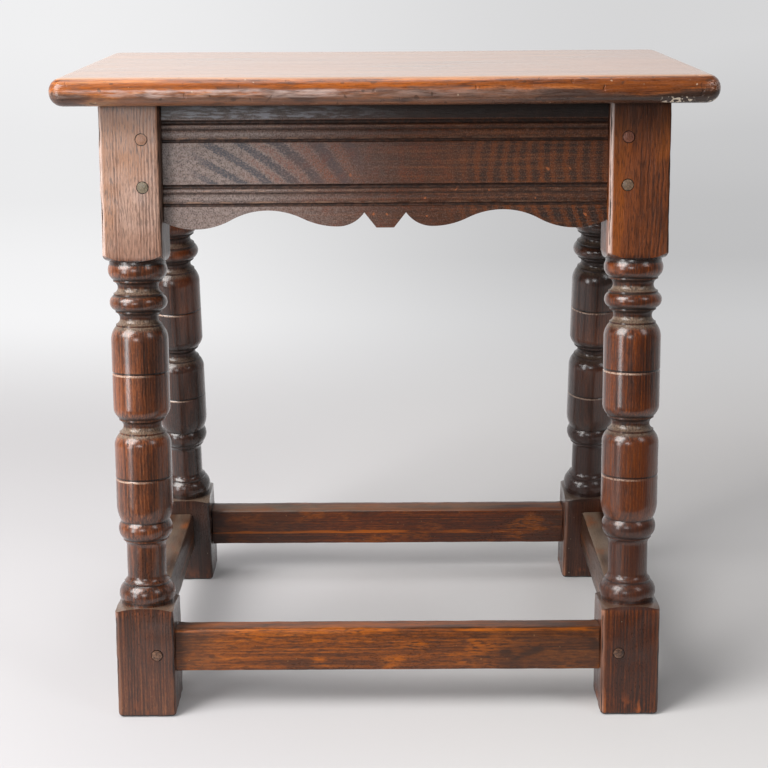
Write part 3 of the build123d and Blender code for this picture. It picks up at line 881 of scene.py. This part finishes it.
def moulded_face():
    """Section of a rail: its face with two run mouldings, then the plain back."""
    out = Outline(0.0, spare)
    for top in moulding_tops:
        for index, (start, radius) in enumerate(moulding_cuts):
            high = -top - start
            low = high - 2 * radius
            if index == 0:
                out.to(0.0, high + 0.0002)
                out.to(bead_fall / 2, high)
            else:
                out.arc((0.0, (out.points[-1][1] + high) / 2), (bead_fall, high), 6)
            next_bead = bead_fall if index < len(moulding_cuts) - 1 else bead_fall / 2
            out.arc((radius, (high + low) / 2), (next_bead, low), 8)
        out.line(0.0, 0.0002)
    lowest = -end_lobe[1] - spare
    return out.points + [(0.0, lowest), (rail_thickness, lowest), (rail_thickness, spare)]


def moulded_rail(name, half, edge):
    """A rail standing upright: its face is at Y 0 and looks to the front."""
    rail = draw_line(name, [(-half, y, z) for y, z in moulded_face()])
    bpy.ops.mesh.edge_face_add()
    extrude((2 * half, 0, 0))
    close_up(rail)
    outline = [(-x, z) for x, z in edge[::-1]] + edge
    shape = draw_line("shape", [(x, -spare, z) for x, z in outline])
    bpy.ops.mesh.edge_face_add()
    extrude((0, rail_thickness + 2 * spare, 0))
    close_up(shape)
    cut_with(rail, shape, "INTERSECT")
    return rail


def rail_finish(name, lying, seed, tones, pale, streak):
    """Oak cut on the quarter: bars of figure cross it, slanting and slate grey towards the left,
    upright and brown on the right. The left half is painted paler as sheen from the window;
    the grooves and the band under the seat are darker with painted shade."""
    along = lying @ Matrix.Rotation(math.radians(90), 4, "Y")
    oak = Oak(name, along, (0.01, 0.14), 0.0021, seed, tones, 0.15)
    depth, inward, length = oak.x, oak.y, oak.z
    left = length.fade(0.030, -0.10)
    mottle = oak.grained(420, 336, 2.0, 0.6)
    grain = oak.grained(900, 1152, 1.0)
    speckle = oak.grained(1000, 640, 1.0)
    # the left half paler and greyer: painted sheen from the window, broken by the mottle
    oak.stain(pale, left * (0.40 + 0.60 * mottle.fade(0.35, 0.65)) * 0.90)
    oak.stain(dirt_and_shade, grain.fade(0.50, 0.66) * 0.45)
    oak.stain(pale, grain.fade(0.50, 0.36) * (0.15 + left * 0.35))

    # the slanting bars of figure on the left of the field between the mouldings
    field = depth.band(0.0270, 0.0545, 0.0008)
    across_field = depth - 0.041
    bar_spacing, post_spacing = 0.0212, 0.0088
    sway = oak.grained(22, 22) - 0.5
    lean = 0.7 + length.fade(-0.02, -0.12)
    slant = (length - across_field * lean + sway * 0.014) / bar_spacing
    bars = (slant * (2 * math.pi)).sine() * 0.5 + 0.5
    slate = (bars + (speckle - 0.5) * 0.9).fade(0.45, 0.85)
    slate = slate * field * length.band(-0.118, -0.030, 0.022)
    oak.stain((58, 58, 64), slate * (0.35 + 0.6 * speckle.fade(0.35, 0.6)))
    warm = bars.fade(0.5, 0.1) * field * length.band(-0.085, -0.030, 0.02)
    oak.stain(streak, warm * speckle.fade(0.3, 0.7) * 0.5)

    # the upright ones on the right, which cross the scalloped edge too
    upright = (length + sway * 0.010 - across_field ** 2.0 * 5.0) / post_spacing
    posts = (upright * (2 * math.pi)).sine() * 0.5 + 0.5
    right = length.fade(0.025, 0.075) * (0.35 + 0.65 * field.larger(depth.fade(0.069, 0.071)))
    broken = 0.45 + 0.55 * oak.wood.stretched((38, 40, 70)).noise(1.0).fade(0.36, 0.58)
    ragged = posts + (speckle - 0.5) * 2.2
    oak.stain((112, 58, 26), ragged.fade(0.3, 1.1) * right * broken * 0.55)
    oak.stain((30, 20, 15), ragged.fade(0.7, -0.1) * right * broken * 0.45)

    middle = length.band(-0.045, 0.03, 0.05)
    rust = oak.grained(110, 110, 3.0, 0.6).fade(0.42, 0.74)
    oak.stain((86, 48, 28), middle * 0.3)
    oak.stain((112, 54, 30), rust * middle * speckle.fade(0.3, 0.7) * 0.6)
    dabs = oak.spots(190.0, 0.765) * length.fade(-0.06, 0.0) * depth.fade(0.030, 0.036)
    oak.stain((166, 100, 66), dabs * 0.65)

    # the plain band under the seat, darker to the right as painted shade from the seat
    top_band = depth.fade(0.0112, 0.0100)
    streaks = oak.grained(420, 67.2, 3.0, 0.65).fade(0.46, 0.60)
    oak.stain(dirt_and_shade, top_band * (0.55 + 0.3 * length.fade(-0.06, 0.06)))
    # streaks of painted sheen on its left part
    oak.stain((160, 162, 170), top_band * length.fade(0.03, -0.09) * streaks * 0.65)
    # painted shade right under the seat
    oak.stain(dirt_and_shade, depth.fade(0.011, 0.001) * 0.6)
    # the grooves darker: painted shade, with grime
    groove = inward.fade(0.0003, 0.0008)
    oak.stain((60, 36, 25), groove * 0.9)
    oak.stain(dirt_and_shade, groove * oak.grained(500, 400).fade(0.62, 0.42) * 0.75)
    brink = inward.fade(-0.0001, 0.0003) * (1 - groove)
    oak.stain((52, 32, 23), brink * mottle.fade(0.42, 0.55) * 0.6)
    # the crests of the beads: rubbed, and a painted highlight that grows to the left
    for top in moulding_tops:
        for crest in (0.0044, 0.0124):
            crown = depth.band(top + crest - 0.0004, top + crest + 0.0004, 0.0004)
            bare = oak.grained(330, 99).fade(0.46, 0.60)
            oak.stain((156, 124, 104), crown * bare * (0.15 + 0.40 * left))
    oak.rough = oak.rough + groove * 0.2 + 0.08
    oak.height = oak.height + (mottle - 0.5) * 0.35 + (grain - 0.5) * 0.2
    return oak.finish(0.35, 0.3)


rail_tones = ((28, 17, 12), (64, 37, 23), (106, 62, 36))
# the pale of the painted sheen and the pale grain on the left, and the warm streaks of figure
sheen_and_grain_pale, worn_streak = (146, 130, 124), (136, 84, 66)
long_edge = scalloped_edge() + [(rail_shoulder, spare)]
short_half = inner_face(end_lobe[1])
short_lobe = (short_half - 0.014, -end_lobe[1])
short_edge = wave((0.0, -arch[1]), short_lobe)[1:]
short_edge += level_arc(short_lobe, (inner_face(lobe_at_leg), -lobe_at_leg))[1:]
short_edge += [(inner_face(0.0), 0.0), (inner_face(-spare), spare)]

rails = (
    ("front", rail_shoulder, long_edge, long_face(-1, rail_setback)),
    ("rear", rail_shoulder, long_edge, long_face(1, rail_setback)),
    ("left", short_half + spare, short_edge, end_face(-1, rail_setback)),
    ("right", short_half + spare, short_edge, end_face(1, rail_setback)),
)
for seed, (where, half, edge, lying) in enumerate(rails, 10):
    rail = moulded_rail(f"moulded_rail_{where}", half, edge)
    lay(rail, lying)
    saw_level(rail, seat_underside, True)
    soften(rail)
    rail.data.materials.append(
        rail_finish(f"rail_oak_{where}", lying, seed, rail_tones, sheen_and_grain_pale, worn_streak)
    )
    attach(rail, "root")
    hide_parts(f"rail_{where}")


# ------------------------------------------------------------------ stretchers
# Four plain oak bars near the floor, tenoned into the lower blocks. Feet have worn the
# upper arrises of the front one round and down to bright wood, a painted highlight runs
# along the upper arrises, and dust lies on the others.

stretcher_lift = 0.0325
stretcher_height = 0.032
stretcher_thickness = 0.0195
stretcher_setback = 0.008


def stretcher_bar(name, half_top, half_bottom, low, seed, worn):
    """A bar standing upright with its face at Y 0; its ends may be cut to the rake."""
    high = low + stretcher_height
    corners = ((-half_bottom, low), (half_bottom, low), (half_top, high), (-half_top, high))
    bar = draw_line(name, [(x, 0, z) for x, z in corners])
    bpy.ops.mesh.edge_face_add()
    extrude((0, stretcher_thickness, 0))
    close_up(bar)
    for height, arris in ((high, worn), (low, 0.0014)):
        pick(bar, "EDGE", lambda a, b: (
            abs(a.x - b.x) > 0.05 and max(abs(a.z - height), abs(b.z - height)) < 0.0005
        ))
        bpy.ops.mesh.bevel(offset=arris, segments=4, affect="EDGES")
    stages = 60
    for i in range(1, stages):
        bpy.ops.mesh.select_all(action="SELECT")
        cut = -half_bottom + 2 * half_bottom * i / stages
        bpy.ops.mesh.bisect(plane_co=(cut, 0, 0), plane_no=(1, 0, 0))
    bpy.ops.mesh.select_all(action="SELECT")
    bpy.ops.transform.vertex_random(offset=unevenness * 2, uniform=0.0, normal=1.0, seed=seed)
    pick(bar, "VERT", lambda at: abs(at.x) < half_top - 0.004)
    bpy.ops.mesh.vertices_smooth(factor=0.5, repeat=3, xaxis=False)
    return close_up(bar)


def stretcher_finish(name, lying, low, seed, tones, wear):
    """Streaky oak: bright where feet rub its upper arris, which also carries a painted
    highlight, dark in blotches, dusty on top.
    """
    along = lying @ Matrix.Rotation(math.radians(90), 4, "Y")
    oak = Oak(name, along, (0.10, 0.03), 0.0024, seed, tones, 0.4)
    height, inward, length = -oak.x - low, oak.y, oak.z
    arris_wear_and_highlight = (height - stretcher_height + inward).band(-0.0020, 0.0002, 0.0008)
    streaky = oak.grained(200, 16, 3.0).fade(0.42, 0.58)
    lines = oak.grained(760, 152, 3.0, 0.6).fade(0.44, 0.66)
    oak.stain(tones[1], 0.3)
    oak.stain((44, 26, 17), lines * 0.58)
    blotch = oak.grained(45, 16)
    dull = length.fade(0.02, 0.11)
    oak.stain((38, 25, 18), blotch.fade(0.56, 0.66) * (0.35 + 0.45 * dull))
    oak.stain((40, 24, 16), dull * 0.70)
    oak.stain((66, 44, 33), length.fade(-0.105, -0.142) * wear * 0.6)

    # bright wood that feet have polished on the face; on the top arris worn wood and painted
    # highlight
    glow = oak.wood.moved((0, 0.3, 0)).stretched((90, 90, 36)).noise(1.0, 3.0).fade(0.50, 0.66)
    oak.stain((182, 102, 44), glow * (1 - lines) * (1 - dull * 0.7) * wear * 0.55)
    oak.stain((196, 106, 34), arris_wear_and_highlight * streaky * (0.25 + wear * 0.5) * (1 - dull * 0.5))

    # the top: dust where no feet come, worn wood where they do
    settled = oak.up.fade(0.55, 0.95) * inward.fade(0.002, 0.009)
    worn_through = oak.grained(30, 22, 4.0, 0.6).fade(0.48, 0.74)
    oak.stain((44, 29, 22), settled * (0.7 - wear * 0.4))
    oak.stain((160, 86, 34), settled * streaky * wear * (1 - dull * 0.6) * 0.5)
    patchy = oak.patch.fade(0.34, 0.56) * (0.4 + 0.6 * oak.speck)
    oak.stain(dust, settled * (1 - wear) * (1 - worn_through) * patchy * 1.1)
    oak.stain(rubbed, settled * worn_through * (1 - wear) * 0.7)
    oak.stain((178, 140, 104), oak.spots(480.0, 0.84) * 0.25)
    oak.rough = oak.rough + settled * 0.3
    return oak.finish(0.4, 0.3)


raked_low = stretcher_lift - leg_length
level_low = stretcher_lift - seat_underside
end_halves = (inner_face(-level_low - stretcher_height), inner_face(-level_low))
plain_tones = ((40, 27, 21), (84, 58, 43), (120, 88, 66))
front_tones = ((54, 30, 17), (126, 69, 33), (178, 106, 52))
rear_tones = ((38, 19, 11), (96, 46, 22), (134, 72, 34))
# half the length at the top and at the bottom, the lower edge, the rounding of the upper one
raked = (rail_shoulder, rail_shoulder, raked_low, 0.0026)
level = (*end_halves, level_low, 0.0022)
stretchers = (
    ("front", raked, long_face(-1, stretcher_setback), front_tones, 0.95),
    ("rear", raked, long_face(1, stretcher_setback), rear_tones, 0.6),
    ("left", level, end_face(-1, stretcher_setback), plain_tones, 0.1),
    ("right", level, end_face(1, stretcher_setback), plain_tones, 0.1),
)
for seed, (where, (top, bottom, low, worn), lying, tones, wear) in enumerate(stretchers):
    bar = stretcher_bar(f"oak_stretcher_{where}", top, bottom, low, 31 + seed, worn)
    lay(bar, lying)
    soften(bar)
    bar.data.materials.append(
        stretcher_finish(f"stretcher_oak_{where}", lying, low, 41 + seed, tones, wear)
    )
    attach(bar, "root")
    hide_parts(f"stretcher_{where}")


# ------------------------------------------------------------------ pegs
# Riven oak pegs, driven home through the tenons and left a hair proud. Their heads are
# domed end grain, never quite round, dark or dusty by turns, each in its thin black ring.

head_rise = 0.00042
nearly_flush = 0.00018
dome_rings = 3
ring_width = 0.0008
ring_rise = 0.00012


def make_peg(lying, x, depth, proud, seed):
    """One peg with a domed head that stands proud of the face it is driven into."""
    peg = round_bar(lying, x, depth, peg_radius - 0.0001, proud, peg_length - proud, 22)
    outward = -lying.col[1].xyz
    pick(peg, "FACE", lambda looks: looks.dot(outward) > 0.9)
    bpy.ops.transform.translate(value=outward * -dome_rings * ring_rise)
    for _ in range(dome_rings):
        bpy.ops.mesh.inset(thickness=ring_width, depth=0.0)
        bpy.ops.transform.translate(value=outward * ring_rise)
    bpy.ops.mesh.select_all(action="SELECT")
    bpy.ops.transform.vertex_random(offset=0.00009, uniform=1.0, normal=0.0, seed=seed)
    return close_up(peg)


def peg_finish(name, lying, seed, tones):
    """End grain: pale on the upper pegs of a rail, dusty on the lower ones, dark low down."""
    oak = Oak(name, lying, (0.004, 0.003), 0.0011, seed, tones, 0.3)
    x, _, z = oak.world.parts()
    lower = z.fade(seat_underside - 0.036, seat_underside - 0.046)
    left = x.fade(0.02, -0.02)
    in_rail = z.fade(0.2, 0.3)
    oak.stain((172, 132, 110), in_rail * (1 - lower) * left * 0.75)
    oak.stain((128, 118, 100), in_rail * lower * (0.3 + 0.4 * left))
    oak.stain((120, 70, 56), in_rail * (1 - lower) * (1 - left) * 0.6)
    oak.rough = oak.rough + 0.06
    return oak.finish(0.5, 0.25)


peg_tones = ((40, 27, 22), (92, 66, 52), (136, 104, 84))
peg_rows = []
for side_name, side in (("front", -1), ("rear", 1)):
    for joint, depths in (("rail", rail_pegs), ("stretcher", [stretcher_peg])):
        heads = [(hand * peg_x, depth) for hand in (-1, 1) for depth in depths]
        peg_rows.append((f"{joint}_{side_name}", long_face(side), heads))
for hand_name, hand in (("left", -1), ("right", 1)):
    for joint, depths in (("rail", end_rail_pegs), ("stretcher", [end_stretcher_peg])):
        heads = [(s * inner_face(depth, peg_inset), depth) for depth in depths for s in (-1, 1)]
        peg_rows.append((f"{joint}_{hand_name}", end_face(hand), heads))

for seed, (joint, lying, heads) in enumerate(peg_rows):
    row = []
    for index, (x, depth) in enumerate(heads):
        proud = nearly_flush if depth == rail_pegs[0] else head_rise
        row.append(make_peg(lying, x, depth, proud, 7 * seed + index))
    take_up(row[0])
    for peg in row[1:]:
        peg.select_set(True)
    bpy.ops.object.join()
    pegs = bpy.context.object
    pegs.name = f"riven_pegs_{joint}"
    pegs.data.name = pegs.name
    soften(pegs, 25)
    pegs.data.materials.clear()
    along = lying @ Matrix.Rotation(math.pi / 2, 4, "X")
    pegs.data.materials.append(peg_finish(f"peg_oak_{joint}", along, seed, peg_tones))
    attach(pegs, "root")
    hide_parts(f"pegs_{joint}")


# ------------------------------------------------------------------ seat
# One broad oak board with a round nosing on all four sides, hollowed a little by use and
# held by blind dowels in the tops of the legs. Hands have polished its edge to amber.

seat_low, seat_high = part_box("seat_board")
seat_size = seat_high - seat_low
seat_corner = 0.010
nosing = 0.009
seat_hollow = 0.0011
hollow_reach = 0.17
shaving = Vector((0.0004,) * 3)  # keeps the finished board within its blank

bpy.ops.object.select_all(action="DESELECT")
bpy.ops.mesh.primitive_cube_add(
    size=1, location=(seat_low + seat_high) / 2, scale=seat_size - shaving
)
seat = bpy.context.object
seat.name = "oak_seat_board"
seat.data.name = "oak_seat_board"
settle(seat)
for upright, rounding in ((True, seat_corner), (False, nosing)):
    pick(seat, "EDGE", lambda a, b: (abs(a.z - b.z) > seat_size.z / 2) == upright)
    bpy.ops.mesh.bevel(offset=rounding, segments=8, affect="EDGES")
bpy.ops.object.mode_set(mode="OBJECT")
apply_modifier(seat, "REMESH", mode="VOXEL", voxel_size=0.0021, use_smooth_shade=True)
pick(seat, "VERT", lambda at: (
    abs(at.x) < 0.03 and abs(at.y) < 0.02 and at.z > seat_high.z - 0.003
))
bpy.ops.transform.translate(
    value=(0, 0, -seat_hollow), use_proportional_edit=True, proportional_size=hollow_reach,
    proportional_edit_falloff="SMOOTH", use_proportional_connected=True,
)
bpy.ops.object.mode_set(mode="OBJECT")


def seat_finish():
    """Amber where hands rub the upper edge, grey and dirty below, both darker to the right as
    painted shade; pale on top, with painted glare in it, and painted highlights on the edge.
    """
    lying = Matrix.Translation((0, 0, seat_underside)) @ Matrix.Rotation(math.radians(90), 4, "Y")
    tones = ((92, 50, 26), (172, 98, 48), (214, 140, 78))
    oak = Oak("seat_oak_board", lying, (-0.05, 0.06), 0.0034, 5, tones, 0.3)
    height, length = -oak.x, oak.z
    face_up = oak.up.fade(0.84, 0.985)
    edge = 1 - face_up
    right = length.fade(0.02, 0.2)
    left = 1 - right
    streaks = oak.grained(330, 11.55, 3.0, 0.6)
    flecks = oak.grained(620, 86.8, 3.0, 0.6).fade(0.46, 0.62)

    # the upper half of the edge, down to a wandering line
    rag = (oak.grained(90, 27) - 0.5) * 0.007
    wander = rag + (oak.grained(26, 24) - 0.5) * 0.014
    amber = (height + wander).fade(0.0094, 0.0122) * edge
    oak.stain((147, 74, 13), amber * (0.85 - right * 0.2))
    # darker towards the right end, away from the window: painted shade
    oak.stain((96, 48, 22), amber * right * 0.6)
    oak.stain((74, 38, 20), (streaks.fade(0.47, 0.60) * 0.7 + flecks * 0.6) * edge * 0.7)
    blotch = oak.grained(90, 40, 3.0, 0.6).fade(0.50, 0.60)
    blotch = blotch * height.band(0.0055, 0.0125, 0.002) * edge * (1 - right * 0.6)
    oak.stain((104, 80, 70), blotch * (0.25 + 0.5 * oak.speck))
    # a painted highlight along the top rounding of the edge, on the left
    rim_highlight = streaks.fade(0.52, 0.40) * height.fade(0.0148, 0.0172) * edge
    oak.stain((210, 136, 60), rim_highlight * left * 0.4)

    # the lower half
    lower = (height + wander).fade(0.0108, 0.0075) * edge
    oak.stain((120, 90, 75), lower * (0.6 + 0.4 * oak.speck) * (0.85 - flecks * 0.3))
    # darker towards the right end, away from the window: painted shade
    oak.stain((40, 26, 20), lower * right * 0.85)
    cloudy = oak.grained(60, 22, 3.0)
    oak.stain((60, 42, 36), lower * cloudy.fade(0.50, 0.60) * 0.7)
    oak.stain((140, 90, 52), lower * cloudy.fade(0.40, 0.32) * left * 0.8)
    left_end = length.fade(-0.170, -0.206) * cloudy.fade(0.54, 0.46)
    oak.stain((198, 142, 86), left_end * lower * (0.35 + 0.65 * oak.speck) * 0.9)

    # painted highlights at the right end and half way up; wear: nicks, chips under the front edge
    end_highlight = length.fade(0.212, 0.220) * height.band(0.0100, 0.0150, 0.0015) * edge
    oak.stain((200, 164, 148), end_highlight * oak.speck.fade(0.45, 0.60) * 0.7)
    mid_reflection = (height + rag * 0.5).band(0.0078, 0.0102, 0.0024) * edge
    broken = oak.grained(420, 58.8, 3.0, 0.6).fade(0.36, 0.66)
    bright_left = 0.35 + 0.65 * length.band(-0.16, -0.05, 0.05)
    oak.stain((206, 180, 170), mid_reflection * broken * left * bright_left * 0.62)
    oak.stain((60, 40, 30), edge * oak.spots(190.0, 0.75) * 0.6)
    near_end = length.band(0.187, 0.203, 0.004) + length.band(0.217, 0.225, 0.003)
    near_end = near_end * height.fade(0.006, 0.004) * oak.up.fade(-0.97, -0.85)
    near_end = near_end * (-oak.y).fade(0.119, 0.124)
    oak.stain((224, 208, 186), oak.spots(420.0, 0.55, 0.4) * near_end * edge)
    oak.stain((206, 184, 160), oak.spots(340.0, 0.82, 0.2) * edge * 0.45)

    # the top: paler, partly as painted glare of the bright backdrop; darker towards the right end
    oak.stain((206, 164, 133), face_up * 0.65)
    oak.stain((160, 112, 84), face_up * length.fade(0.1, 0.24) * 0.4)
    oak.stain((126, 84, 60), face_up * oak.grained(200, 6, 3.0).fade(0.50, 0.64) * 0.4)
    oak.height = oak.height - oak.spots(140.0, 0.74) * 0.6
    oak.rough = oak.rough - edge * 0.04
    return oak.finish(0.55 + face_up * 0.45, 0.17, 1.0)


seat.data.materials.append(seat_finish())
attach(seat, "root")
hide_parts("seat_board")

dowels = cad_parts["seat_dowels"]
dowel_tones = ((92, 64, 44), (150, 112, 80), (190, 150, 112))
dowel_oak = Oak("dowel_oak", Matrix.Identity(4), (0.004, 0.003), 0.0011, 77, dowel_tones)
dowels.data.materials.clear()
dowels.data.materials.append(dowel_oak.finish(0.1, 0.4))
